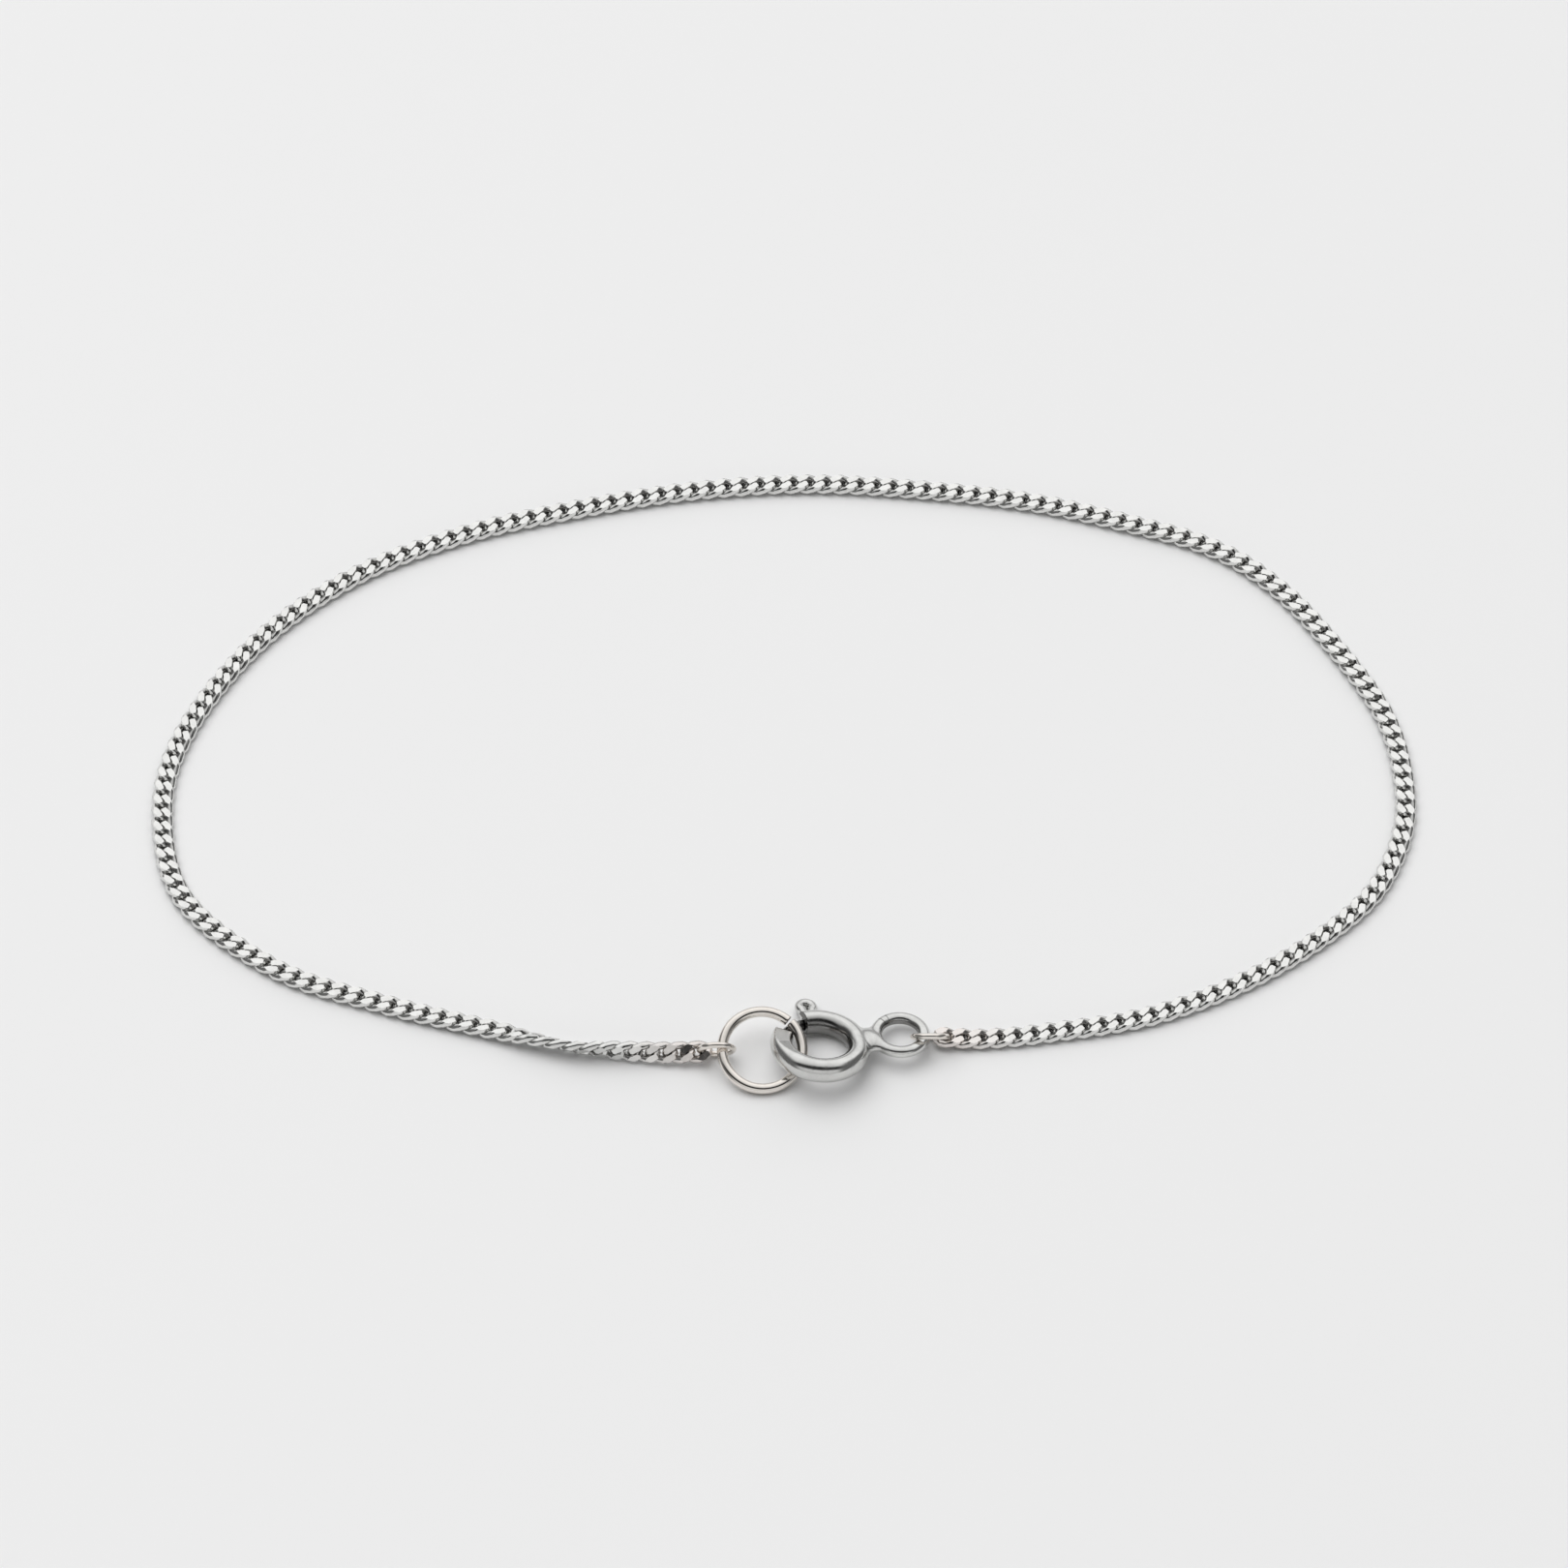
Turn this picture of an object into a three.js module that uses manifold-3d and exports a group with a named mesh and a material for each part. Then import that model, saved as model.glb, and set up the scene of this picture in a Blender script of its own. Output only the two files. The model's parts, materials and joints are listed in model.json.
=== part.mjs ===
// Curb link bracelet with a spring ring clasp, lying closed on a flat surface.
// Millimetres, +Z up, the surface at z = 0, the loop centred on the origin.

import * as THREE from 'three';
import { mergeVertices } from 'three/addons/utils/BufferGeometryUtils.js';
import Module from 'manifold-3d';

const wasm = await Module();
wasm.setup();

const { degToRad } = THREE.MathUtils;

// Chain: a curb link's outer width and height, its wire, and the flat ground on its faces
const chainWidth = 1.33;
const chainThickness = 0.64;
const chainFlatWidth = 0.96;
const chainEdgeHeight = 0.26;
const chainSteps = 110;

// End links of the chain, which the connector rings pass through
const linkWidth = 1.22;
const linkLength = 1.74;
const linkWire = 0.34;
const rightLink = { pitch: 10.7, roll: 33.6 };
const leftLink = { pitch: -10.1, roll: 35.2 };
const strapInset = 0.22;

// Centre line of the chain, chosen by hand, from the middle of its right end link round to
// the middle of its left one: x, y, lift above its seat, roll about its own line in degrees.
const route = [
  [9.45, -19.17, 0.155, 0],
  [11.6, -19.13, 0.01, 0],
  [15.0, -18.72, 0, 0],
  [21.4, -17.37, 0, 0],
  [27.7, -14.27, 0, 0],
  [33.08, -9.87, 0, 0],
  [35.48, -5.9, 0, 0],
  [36.32, -1.3, 0, 0],
  [35.26, 4.94, 0, 0],
  [31.38, 11.88, 0, 0],
  [28.2, 15.7, 0, 0],
  [24.98, 17.95, 0, 0],
  [20.98, 19.45, 0, 0],
  [15.0, 21.18, 0, 0],
  [8.4, 22.18, 0, 0],
  [1.4, 22.66, 0, 0],
  [-5.6, 22.09, 0, 0],
  [-12.4, 20.68, 0, 0],
  [-19.1, 18.7, 0, 0],
  [-25.5, 15.49, 0, 0],
  [-31.1, 10.43, 0, 0],
  [-35.14, 3.65, 0, 0],
  [-36.31, -2.3, 0, 0],
  [-34.83, -8.93, 0, 0],
  [-29.37, -14.04, 0, 0],
  [-23.0, -16.64, 0.005, 0],
  [-16.5, -18.6, 0.03, -8],
  [-14.6, -19.26, 0.05, -36],
  [-12.0, -20.0, 0.05, -62],
  [-10.2, -20.18, 0.03, -88],
  [-8.5, -20.31, 0.03, -108],
  [-6.8, -20.38, 0.08, -127],
  [-5.03, -20.38, 0.187, -138],
];

// Spring ring: a tube bent to a ring, oval because the bend flattened it
const ringRadius = 2.24;
const tubeWidth = 1.26;
const tubeHeight = 1.48;
const ringFrontUp = 14.5;
const ringLeftUp = 6;
const ringYaw = 12.8;
const ringX = 2.06;
const ringY = -20.4;

// Opening in the spring ring, its bore for the bolt, the socket across the opening and the
// slot for the trigger: angles round the ring, from the side of the neck
const openingStart = 102;
const openingEnd = 146;
const boreDiameter = 0.76;
const boreStart = 12;
const socketDepth = 9;
const slotStart = 30;
const slotHeight = 0.7;
const boreDrop = 0.1;

// Flat on top of the tube beyond the opening, which runs out along the ring
const facetHeight = 0.45;
const facetSlope = 7.5;
const facetLength = 2.4;
const facetInward = 1.9;

// End ring, and the solder neck that holds it to the spring ring
const endRingRadius = 1.385;
const endRingWire = 0.7;
const endRingGap = 0.12;
const endRingRise = 0.36;
const endRingTwist = 5.4;
const endRingPitch = -5.3;
const neckLength = 1.6;
const neckWidth = 1.9;
const neckHeight = 1.0;

// Bolt: a round wire in the bore, with its end bent to a hairpin for the trigger
const boltClearance = 0.1;
const boltTail = 60;
const boltEntry = 3;
const triggerAngle = 88;
const triggerReach = 1.49;
const triggerHeadRadius = 0.38;
const triggerLegOffset = 0.26;

// Jump ring: round wire, closed but for a fine cut
const jumpRadius = 2.3;
const jumpWire = 0.62;
const jumpFrontUp = -21.7;
const jumpLeftUp = 3.5;
const jumpX = -1.243;
const jumpY = -20.574;
const jumpLift = 0.025;
const jumpCutAngle = 49;
const jumpCutWidth = 0.18;
const jumpCutStep = 0.12;

// Connector rings, alike, one at each end of the chain
const connectorRadius = 0.97;
const connectorWire = 0.36;
const connectorLift = 0.01;
const connectorRight = { x: 8.365, y: -19.454, lean: 54.5, tilt: 0 };
const connectorLeft = { x: -3.865, y: -20.447, lean: 67.9, tilt: 4.3 };

// How finely round things are divided
const wireSides = 12;
const ringSteps = 40;
const linkSteps = 20;
const boltSteps = 14;
const triggerSteps = 22;
const tubeSides = 16;
const tubeSteps = 60;
const cutMargin = 0.6;
const cutOverrun = 4;

const silver = { color: 0xc9c9c7, roughness: 0.28, metalness: 1 };
const satinSilver = { color: 0xbfbfbd, roughness: 0.36, metalness: 1 };
const whiteGold = { color: 0xd2ccc4, roughness: 0.16, metalness: 1 };

function solidOf(geometry) {
  const bare = geometry.clone();
  bare.deleteAttribute('normal');
  bare.deleteAttribute('uv');
  const merged = mergeVertices(bare, 1e-4);
  return new wasm.Manifold(new wasm.Mesh({
    numProp: 3,
    vertProperties: new Float32Array(merged.attributes.position.array),
    triVerts: new Uint32Array(merged.index.array),
  }));
}

function geometryOf(solid) {
  const mesh = solid.getMesh();
  const geometry = new THREE.BufferGeometry();
  geometry.setAttribute('position', new THREE.BufferAttribute(mesh.vertProperties, 3));
  geometry.setIndex(new THREE.BufferAttribute(mesh.triVerts, 1));
  const faceted = geometry.toNonIndexed();
  faceted.computeVertexNormals();
  return faceted;
}

function named(name, geometry, finish) {
  const mesh = new THREE.Mesh(geometry, new THREE.MeshStandardMaterial(finish));
  mesh.name = name;
  return mesh;
}

// Turns given in degrees: about Z first, then X, then Y
function turned(x, y, z) {
  return new THREE.Euler(degToRad(x), degToRad(y), degToRad(z), 'YXZ');
}

// How high a ring's centre lies when the ring touches the surface at this turn
function ringSeat(turn, radius, sectionWidth, sectionHeight) {
  const cosine = new THREE.Vector3(0, 0, 1).applyEuler(turn).z;
  const sine = Math.sqrt(1 - cosine * cosine);
  return radius * sine + Math.hypot(cosine * sectionHeight, sine * sectionWidth) / 2;
}

// An arc about the Z axis, whose far end may stand off its near one along Z
class Arc extends THREE.Curve {
  constructor(radius, startDegrees, endDegrees, height = 0, rise = 0) {
    super();
    Object.assign(this, { radius, startDegrees, endDegrees, height, rise });
  }

  getPoint(t, target = new THREE.Vector3()) {
    const angle = degToRad(THREE.MathUtils.lerp(this.startDegrees, this.endDegrees, t));
    const z = this.height + this.rise * (t - 0.5);
    return target.set(this.radius * Math.cos(angle), this.radius * Math.sin(angle), z);
  }
}

function circle(diameter) {
  return new THREE.Shape(Array.from({ length: wireSides }, (_, i) => {
    const angle = (2 * Math.PI * i) / wireSides;
    return new THREE.Vector2(Math.cos(angle), Math.sin(angle)).multiplyScalar(diameter / 2);
  }));
}

function wireAlong(path, diameter, steps) {
  return new THREE.ExtrudeGeometry(circle(diameter), { steps, extrudePath: path });
}

// A wedge of a ring: between two radii and two angles, so high about its level
function sector(inner, outer, startDegrees, endDegrees, height, level) {
  const start = degToRad(startDegrees);
  const end = degToRad(endDegrees);
  const outline = new THREE.Shape();
  outline.absarc(0, 0, outer, start, end, false);
  outline.absarc(0, 0, inner, end, start, true);
  const wedge = new THREE.ExtrudeGeometry(outline, {
    depth: height,
    curveSegments: wireSides,
    bevelEnabled: false,
  });
  return wedge.translate(0, 0, level - height / 2);
}

// The strap's outline: the chain's width and height with its ground flats and round edges
function chainSection() {
  const side = chainWidth / 2;
  const top = chainThickness / 2;
  const flat = chainFlatWidth / 2;
  const edge = chainEdgeHeight / 2;
  return [
    [side, -edge], [side, edge], [flat, top], [-flat, top],
    [-side, edge], [-side, -edge], [-flat, -top], [flat, -top],
  ].map(([x, y]) => new THREE.Vector2(x, y));
}

// How high the chain's centre lies when it rests on the surface at a given roll
function chainSeat(rollDegrees) {
  const roll = degToRad(rollDegrees);
  return Math.max(...chainSection().map((p) => p.x * Math.sin(roll) + p.y * Math.cos(roll)));
}

const centreLine = new THREE.CatmullRomCurve3(
  route.map(([x, y, lift, roll]) => new THREE.Vector3(x, y, chainSeat(roll) + lift)),
  false,
  'catmullrom',
  0.5,
);

// The centre line between the end links, with the roll that the section takes along it
class StrapPath extends THREE.Curve {
  share(t) {
    const inset = strapInset / centreLine.getLength();
    return inset + t * (1 - 2 * inset);
  }

  getPoint(t, target = new THREE.Vector3()) {
    return centreLine.getPointAt(this.share(t), target);
  }

  rollAt(t) {
    const along = centreLine.getUtoTmapping(this.share(t)) * (route.length - 1);
    const row = Math.min(Math.floor(along), route.length - 2);
    return degToRad(THREE.MathUtils.lerp(route[row][3], route[row + 1][3], along - row));
  }

  computeFrenetFrames(steps) {
    const frames = { tangents: [], normals: [], binormals: [] };
    for (let i = 0; i <= steps; i += 1) {
      const tangent = this.getTangentAt(i / steps);
      const across = new THREE.Vector3(0, 0, 1).cross(tangent).normalize();
      across.applyAxisAngle(tangent, this.rollAt(i / steps));
      frames.tangents.push(tangent);
      frames.normals.push(across);
      frames.binormals.push(tangent.clone().cross(across));
    }
    return frames;
  }
}

// An end link: a ring of wire drawn out to the link's length, about one end of the centre line
function endLink(centre, { pitch, roll }) {
  const radius = (linkWidth - linkWire) / 2;
  const stretch = (linkLength - linkWidth) / 2;
  const link = new THREE.TorusGeometry(radius, linkWire / 2, wireSides, linkSteps);
  const { position } = link.attributes;
  for (let i = 0; i < position.count; i += 1) {
    const x = position.getX(i);
    position.setX(i, x + stretch * THREE.MathUtils.clamp((2 * x) / radius, -1, 1));
  }
  const turn = new THREE.Quaternion().setFromEuler(turned(roll, pitch, 0));
  const unscaled = new THREE.Vector3(1, 1, 1);
  return link.applyMatrix4(new THREE.Matrix4().compose(centre, turn, unscaled));
}

function makeChain() {
  const strap = new THREE.ExtrudeGeometry(new THREE.Shape(chainSection()), {
    steps: chainSteps,
    extrudePath: new StrapPath(),
  });
  const rightEnd = endLink(centreLine.getPoint(0), rightLink);
  const leftEnd = endLink(centreLine.getPoint(1), leftLink);
  const chain = solidOf(strap).add(solidOf(rightEnd)).add(solidOf(leftEnd));
  return named('chain', geometryOf(chain), silver);
}

// The bent tube whole: an oval profile carried round the Z axis
function bentTube() {
  const profile = Array.from({ length: tubeSides + 1 }, (_, i) => {
    const angle = (2 * Math.PI * (i % tubeSides)) / tubeSides;
    const across = ringRadius + (tubeWidth / 2) * Math.cos(angle);
    return new THREE.Vector2(across, (tubeHeight / 2) * Math.sin(angle));
  });
  return new THREE.LatheGeometry(profile, tubeSteps).rotateX(Math.PI / 2);
}

const tubeOuter = ringRadius + tubeWidth / 2;
const endRingDistance = tubeOuter + endRingGap + endRingWire / 2 + endRingRadius;

function endRing() {
  const ring = new THREE.TorusGeometry(endRingRadius, endRingWire / 2, wireSides, ringSteps);
  const turn = new THREE.Matrix4().makeRotationFromEuler(turned(endRingTwist, endRingPitch, 0));
  return ring.applyMatrix4(turn).translate(endRingDistance, 0, endRingRise);
}

function neck() {
  const blob = new THREE.SphereGeometry(0.5, tubeSides, wireSides);
  blob.scale(neckLength, neckWidth, neckHeight);
  return blob.translate(tubeOuter + endRingGap / 2, 0, endRingRise / 2);
}

// The block that grinds the flat beyond the opening
function facetBlock() {
  const outward = tubeWidth / 2 + cutMargin;
  const block = new THREE.BoxGeometry(outward + facetInward, facetLength + cutMargin, tubeHeight);
  block.translate((outward - facetInward) / 2, (facetLength - cutMargin) / 2, tubeHeight / 2);
  block.rotateX(degToRad(facetSlope));
  return block.translate(ringRadius, 0, facetHeight).rotateZ(degToRad(openingEnd));
}

function makeClaspRing() {
  const inner = ringRadius - tubeWidth / 2 - cutMargin;
  const outer = tubeOuter + cutMargin;
  const cuts = [
    sector(inner, outer, openingStart, openingEnd, tubeHeight + cutMargin, 0),
    sector(ringRadius, outer, slotStart, openingStart + cutOverrun, slotHeight, -boreDrop),
    wireAlong(
      new Arc(ringRadius, boreStart, openingStart + cutOverrun, -boreDrop),
      boreDiameter,
      boltSteps,
    ),
    wireAlong(
      new Arc(ringRadius, openingEnd - cutOverrun, openingEnd + socketDepth, -boreDrop),
      boreDiameter,
      boltSteps,
    ),
    facetBlock(),
  ];
  const whole = solidOf(bentTube()).add(solidOf(endRing())).add(solidOf(neck()));
  const finished = cuts.reduce((solid, cut) => solid.subtract(solidOf(cut)), whole);
  return named('clasp_ring', geometryOf(finished), satinSilver);
}

// The trigger: the bolt's wire carried out through the slot, round a small head and back
function triggerPath() {
  const boltDiameter = boreDiameter - 2 * boltClearance;
  const headCentre = tubeOuter + triggerReach - boltDiameter / 2 - triggerHeadRadius;
  const side = [
    [triggerLegOffset, ringRadius],
    [triggerLegOffset, headCentre - triggerHeadRadius],
    [triggerHeadRadius, headCentre],
    [triggerHeadRadius * Math.SQRT1_2, headCentre + triggerHeadRadius * Math.SQRT1_2],
  ];
  const top = [[0, headCentre + triggerHeadRadius]];
  const back = side.map(([across, out]) => [-across, out]).reverse();
  const points = [...side, ...top, ...back].map(([across, out]) => (
    new THREE.Vector3(out, across, -boreDrop)
  ));
  return new THREE.CatmullRomCurve3(points, false, 'catmullrom', 0.5);
}

function makeBolt() {
  const boltDiameter = boreDiameter - 2 * boltClearance;
  const bar = new Arc(ringRadius, boltTail, openingEnd + boltEntry, -boreDrop);
  const trigger = wireAlong(triggerPath(), boltDiameter, triggerSteps);
  trigger.rotateZ(degToRad(triggerAngle));
  const bolt = solidOf(wireAlong(bar, boltDiameter, boltSteps)).add(solidOf(trigger));
  return named('clasp_bolt', geometryOf(bolt), satinSilver);
}

function makeClasp() {
  const clasp = new THREE.Group();
  clasp.rotation.copy(turned(-ringFrontUp, ringLeftUp, ringYaw));
  const height = ringSeat(clasp.rotation, ringRadius, tubeWidth, tubeHeight);
  clasp.position.set(ringX, ringY, height);
  clasp.add(makeClaspRing(), makeBolt());
  return clasp;
}

function makeJumpRing() {
  const halfCut = THREE.MathUtils.radToDeg(jumpCutWidth / 2 / jumpRadius);
  const path = new Arc(
    jumpRadius,
    jumpCutAngle + halfCut,
    jumpCutAngle - halfCut + 360,
    0,
    jumpCutStep,
  );
  const ring = named('jump_ring', wireAlong(path, jumpWire, ringSteps), whiteGold);
  ring.rotation.copy(turned(-jumpFrontUp, jumpLeftUp, 0));
  const height = ringSeat(ring.rotation, jumpRadius, jumpWire, jumpWire) + jumpLift;
  ring.position.set(jumpX, jumpY, height);
  return ring;
}

function makeConnector(name, { x, y, lean, tilt }) {
  const ring = named(
    name,
    new THREE.TorusGeometry(connectorRadius, connectorWire / 2, wireSides, ringSteps),
    whiteGold,
  );
  ring.rotation.copy(turned(180 - lean, -tilt, 0));
  const height = ringSeat(ring.rotation, connectorRadius, connectorWire, connectorWire);
  ring.position.set(x, y, height + connectorLift);
  return ring;
}

const bracelet = new THREE.Group();
bracelet.add(
  makeChain(),
  makeConnector('connector_left', connectorLeft),
  makeJumpRing(),
  makeClasp(),
  makeConnector('connector_right', connectorRight),
);

export default bracelet;
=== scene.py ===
import json
from math import atan2, copysign, cos, degrees, floor, pi, radians, sin

import bmesh
import bpy
from mathutils import Matrix, Vector


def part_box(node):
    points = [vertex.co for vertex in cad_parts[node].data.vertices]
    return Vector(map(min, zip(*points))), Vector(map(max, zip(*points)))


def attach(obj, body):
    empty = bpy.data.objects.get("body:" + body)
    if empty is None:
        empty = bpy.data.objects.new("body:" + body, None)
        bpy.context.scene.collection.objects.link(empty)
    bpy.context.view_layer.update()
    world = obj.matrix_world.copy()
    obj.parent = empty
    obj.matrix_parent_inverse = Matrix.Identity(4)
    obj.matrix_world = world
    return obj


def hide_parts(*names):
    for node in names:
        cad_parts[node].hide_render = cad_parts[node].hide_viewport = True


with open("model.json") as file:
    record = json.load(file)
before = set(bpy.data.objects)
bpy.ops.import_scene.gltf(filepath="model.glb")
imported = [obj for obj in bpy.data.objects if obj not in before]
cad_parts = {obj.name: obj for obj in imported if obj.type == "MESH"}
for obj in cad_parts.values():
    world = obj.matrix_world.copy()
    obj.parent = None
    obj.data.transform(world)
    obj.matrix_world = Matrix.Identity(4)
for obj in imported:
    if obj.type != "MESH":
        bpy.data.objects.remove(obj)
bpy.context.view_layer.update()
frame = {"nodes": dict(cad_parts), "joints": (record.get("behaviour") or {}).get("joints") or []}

# A curb link bracelet with a spring ring clasp, lying closed on a pale surface.
# Pieces are modelled in millimetres and brought to metres when they are finished.
# Angles are in degrees.
millimetre = 0.001
weld = 0.0001            # points nearer than this are one
upward = Vector((0, 0, 1))
print("frame loaded:", len(frame["nodes"]), "nodes")


# Camera

view = {
    "imagePixels": 1620,
    "focalPixels": 10445,       # long lens, so the far side is barely smaller
    "sensor": 36.0,
    "elevation": 51.26,         # above the floor
    "distance": 592.2,
    "aim": Vector((0, -0.1, 0)),
    "clip": (0.01, 10),         # metres
}


def makeCamera():
    data = bpy.data.cameras.new("camera")
    data.sensor_width = view["sensor"]
    data.lens = view["sensor"] * view["focalPixels"] / view["imagePixels"]
    data.clip_start, data.clip_end = view["clip"]
    camera = bpy.data.objects.new("camera", data)
    height = radians(view["elevation"])
    back = Vector((0, -cos(height), sin(height))) * view["distance"]
    camera.location = (view["aim"] + back) * millimetre
    camera.rotation_euler = (pi / 2 - height, 0, 0)
    bpy.context.collection.objects.link(camera)
    bpy.context.scene.camera = camera


makeCamera()
print("camera placed")


# Nodes

# A colour Mix node repeats the names of its sockets, so they are taken by number
mixShare = 0
mixFrom = 6
mixTo = 7
mixResult = 2


def addNode(tree, kind, inputs=None, **settings):
    # Adds a node, sets it up, and links or fills its inputs, by name or by number
    node = tree.nodes.new(kind)
    for name, value in settings.items():
        setattr(node, name, value)
    for name, value in (inputs or {}).items():
        if isinstance(value, bpy.types.NodeSocket):
            tree.links.new(value, node.inputs[name])
        else:
            node.inputs[name].default_value = value
    return node


def linear(hexColour):
    # From an sRGB hex value to linear light
    parts = [int(hexColour[i:i + 2], 16) / 255 for i in (1, 3, 5)]
    return [p / 12.92 if p <= 0.04045 else ((p + 0.055) / 1.055) ** 2.4 for p in parts] + [1]


def perMetre(sizeInMillimetres):
    return 1 / (sizeInMillimetres * millimetre)


# Light: a white tent, bright over the back, dark where the camera looks in through its front

studio = {
    "strength": 1.0,
    # share of the way over from the front horizon to the back one, and brightness there
    "bands": [
        (0.00, 0.62), (0.14, 0.78), (0.20, 0.72), (0.215, 0.05), (0.365, 0.03),
        (0.395, 0.50), (0.47, 0.85), (0.60, 1.05), (0.72, 1.18), (0.88, 1.08),
        (0.94, 0.50), (1.00, 0.40),
    ],
    "walls": 0.16,              # brightness out to the left and right
    "wallStart": 0.56,          # how far out the walls begin, and where they are full
    "wallEnd": 0.84,
    # soft light from above that the metal doesn't mirror, its size and place in metres
    "fillPower": 7.9,
    "fillSize": 1.2,
    "fillPlace": (-0.35, 0.25, 1.1),
    "floorColour": "#EAEAEA",
    "floorRoughness": 0.9,
    "floorSize": 3.0,           # metres
    "grainSize": 0.35,          # millimetres
    "grainDepth": 0.02,
    "grainStrength": 0.02,
}


def makeWorld():
    world = bpy.data.worlds.new("tent")
    bpy.context.scene.world = world
    world.use_nodes = True
    tree = world.node_tree
    tree.nodes.clear()
    # How far over each direction lies, from the front horizon across the top to the back
    towards = addNode(tree, "ShaderNodeTexCoord").outputs["Generated"]
    axes = addNode(tree, "ShaderNodeSeparateXYZ", {"Vector": towards})
    front = addNode(tree, "ShaderNodeMath", {0: axes.outputs["Y"], 1: -1}, operation="MULTIPLY")
    over = addNode(tree, "ShaderNodeMath", {0: axes.outputs["Z"], 1: front.outputs[0]},
                   operation="ARCTAN2")
    share = addNode(tree, "ShaderNodeMath", {0: over.outputs[0], 1: pi}, operation="DIVIDE")
    ramp = addNode(tree, "ShaderNodeValToRGB", {"Fac": share.outputs[0]})
    points = ramp.color_ramp.elements
    while len(points) < len(studio["bands"]):
        points.new(0.5)
    for point, (place, bright) in zip(points, studio["bands"]):
        point.position = place
        point.color = (bright, bright, bright, 1)
    sideways = addNode(tree, "ShaderNodeMath", {0: axes.outputs["X"]}, operation="ABSOLUTE")
    wall = addNode(tree, "ShaderNodeMapRange", {
        "Value": sideways.outputs[0],
        "From Min": studio["wallStart"],
        "From Max": studio["wallEnd"],
    }, interpolation_type="SMOOTHSTEP")
    tent = addNode(tree, "ShaderNodeMix", {
        mixShare: wall.outputs["Result"],
        mixFrom: ramp.outputs["Color"],
        mixTo: (studio["walls"], studio["walls"], studio["walls"], 1),
    }, data_type="RGBA")
    glow = addNode(tree, "ShaderNodeBackground", {
        "Color": tent.outputs[mixResult],
        "Strength": studio["strength"],
    })
    addNode(tree, "ShaderNodeOutputWorld", {"Surface": glow.outputs[0]})


def makeFill():
    data = bpy.data.lights.new("fill_light", "AREA")
    data.shape = "SQUARE"
    data.size = studio["fillSize"]
    data.energy = studio["fillPower"]
    light = bpy.data.objects.new("fill_light", data)
    light.location = studio["fillPlace"]
    light.rotation_euler = (-light.location).to_track_quat("-Z", "Y").to_euler()
    light.visible_glossy = False
    bpy.context.collection.objects.link(light)


def makeFloor():
    # Sprayed white board: even and matt, with a grain that only breaks up the shade a little
    board = bpy.data.materials.new("sprayed_board")
    board.use_nodes = True
    tree = board.node_tree
    surface = tree.nodes["Principled BSDF"]
    surface.inputs["Base Color"].default_value = linear(studio["floorColour"])
    surface.inputs["Roughness"].default_value = studio["floorRoughness"]
    place = addNode(tree, "ShaderNodeTexCoord").outputs["Object"]
    grain = addNode(tree, "ShaderNodeTexNoise",
                    {"Vector": place, "Scale": perMetre(studio["grainSize"])})
    bump = addNode(tree, "ShaderNodeBump", {
        "Height": grain.outputs["Fac"],
        "Strength": studio["grainStrength"],
        "Distance": studio["grainDepth"] * millimetre,
    })
    tree.links.new(bump.outputs["Normal"], surface.inputs["Normal"])
    bm = bmesh.new()
    bmesh.ops.create_grid(bm, x_segments=1, y_segments=1, size=studio["floorSize"] / 2)
    mesh = bpy.data.meshes.new("floor")
    bm.to_mesh(mesh)
    bm.free()
    mesh.materials.append(board)
    piece = bpy.data.objects.new("floor", mesh)
    bpy.context.collection.objects.link(piece)


makeWorld()
makeFill()
makeFloor()
bpy.context.scene.view_settings.view_transform = "Standard"
print("light and floor made")


# Metals. The sizes and depths of their patterns are in millimetres. A polishing scratch is
# really a few thousandths of a millimetre wide, and is drawn ten times as coarse to show.

# Each finish's dark colour is mixed in as painted shade in hollows and on inner walls, and draws
# the clasp's dark seam lines
finishes = {
    # bright rolled and ground silver: hard white facets, and painted shade on the wire between
    # them
    "ground_silver": {
        "colour": "#EAEAE8", "dull": "#D0D0CE", "patchSize": 0.5,
        "shadeAndSeamColour": "#605E5C", "shadeAndSeamShare": 0.6, "roughness": (0.07, 0.16),
        "scratchSize": 0.03, "scratchDepth": 0.002, "pitSize": 0.10, "pitDepth": 0.001,
    },
    # satin silver from tumbling: broad soft bands of light with fine wear
    "tumbled_silver": {
        "colour": "#E0E0DE", "dull": "#BEBEBC", "patchSize": 0.9,
        "shadeAndSeamColour": "#3A3836", "shadeAndSeamShare": 0.9, "roughness": (0.11, 0.24),
        "scratchSize": 0.05, "scratchDepth": 0.0025, "pitSize": 0.22, "pitDepth": 0.0035,
    },
    # drawn white gold wire, polished: a little warm, and sharper reflections
    "drawn_white_gold": {
        "colour": "#EFEBE6", "dull": "#DDD6CE", "patchSize": 0.7,
        "shadeAndSeamColour": "#5A5048", "shadeAndSeamShare": 0.9, "roughness": (0.04, 0.10),
        "scratchSize": 0.04, "scratchDepth": 0.0012, "pitSize": 0.20, "pitDepth": 0.001,
    },
}
wear = {
    "patchDetail": 3.0,
    "patchRoughness": 0.6,
    "patchSpread": (0.35, 0.65),    # noise at which the gloss is best and worst
    "rubbed": 0.22,                 # roughness that rubbing adds
    "scratchDetail": 2.0,
    "scratchStrength": 0.5,
    "pitDetail": 1.0,
    "pitSpread": (0.60, 0.72),      # only the tops of the noise are pits
    "pitStrength": (0.5, 1.0),      # on polished and on rubbed metal
}
flush = {
    "finish": "ground_silver",
    "colour": "#D8BBAE",            # copper drawn out of the silver by the solderer's flame
    "place": (2.2, -20.0, 0.5),
    "near": 7.5,                    # it fades between these distances from its place
    "far": 11.5,
    "share": 0.22,
}


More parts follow.
